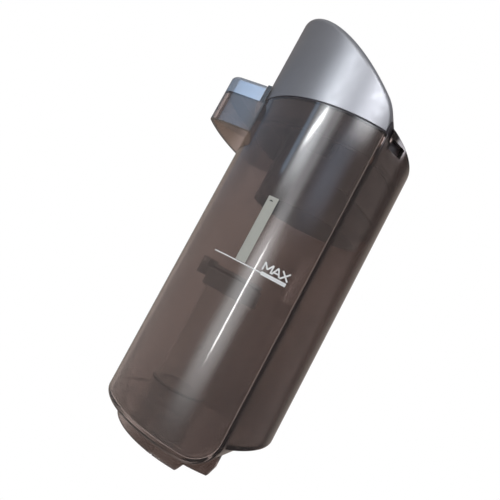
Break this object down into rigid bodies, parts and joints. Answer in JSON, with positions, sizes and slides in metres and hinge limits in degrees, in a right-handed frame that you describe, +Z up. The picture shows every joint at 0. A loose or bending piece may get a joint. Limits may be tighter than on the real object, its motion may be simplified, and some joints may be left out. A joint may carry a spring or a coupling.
{
  "type": "floor cleaner water tank",
  "caption": "Waste water tank for an upright floor washer: smoke-tinted tank with finger grip, inlet pipe with flap, and lift-off lid with float valve, filter and sloping cap.",
  "frame": {"origin": "middle of the outline seen from above, on the surface that the foot ring stands on", "axes": "+Z up, -Y towards the finger grip at the front, +Y towards the bulge at the back, +X to the tank's right when looking along +Y"},
  "size_m": [0.11, 0.1142, 0.2459],
  "materials": {
    "smoke_plastic": "clear smoke-brown, polished",
    "silver_plastic": "satin silver paint",
    "grey_gloss": "smooth pale grey",
    "grey_plastic": "fine texture",
    "black_plastic": "fine texture",
    "float_plastic": "smooth",
    "seal_rubber": "soft matt",
    "pin_steel": "plain",
    "filter_foam": "open-cell foam",
    "filter_paper": "pleated paper"
  },
  "bodies": {
    "tank": {"tank_body": "smoke_plastic", "handle_cover": "grey_gloss", "standpipe": "smoke_plastic", "standpipe_seal": "seal_rubber", "inlet_seal": "seal_rubber", "mouth_collar": "grey_plastic", "flap_pin": "pin_steel"},
    "flap": {"inlet_flap": "grey_plastic", "flap_seal": "seal_rubber"},
    "lid": {"inner_lid": "black_plastic", "lid_gasket": "seal_rubber", "air_baffle": "black_plastic", "float_cage": "black_plastic", "cage_base": "black_plastic", "top_cap": "silver_plastic", "cap_screws": "pin_steel", "outlet_seal": "seal_rubber"},
    "float": {"float_body": "float_plastic", "float_seal": "seal_rubber"},
    "filter": {"filter_frame": "black_plastic", "filter_seal": "seal_rubber", "filter_foam": "filter_foam", "filter_pleats": "filter_paper", "filter_grille": "grey_plastic"}
  },
  "joints": [
    {"name": "flap_hinge", "type": "hinge", "parent": "tank", "child": "flap", "pos_m": [0, -0.02385, 0.0942], "axis": [1, 0, 0], "range_deg": [0, 40]},
    {"name": "lid_lift", "type": "slide", "parent": "tank", "child": "lid", "axis": [0, 0, 1], "range_m": [0, 0.07]},
    {"name": "float_rise", "type": "slide", "parent": "lid", "child": "float", "axis": [0, 0, 1], "range_m": [0, 0.0125]},
    {"name": "filter_pull", "type": "slide", "parent": "lid", "child": "filter", "axis": [0, 0.511, 0.8596], "range_m": [0, 0.03]}
  ]
}
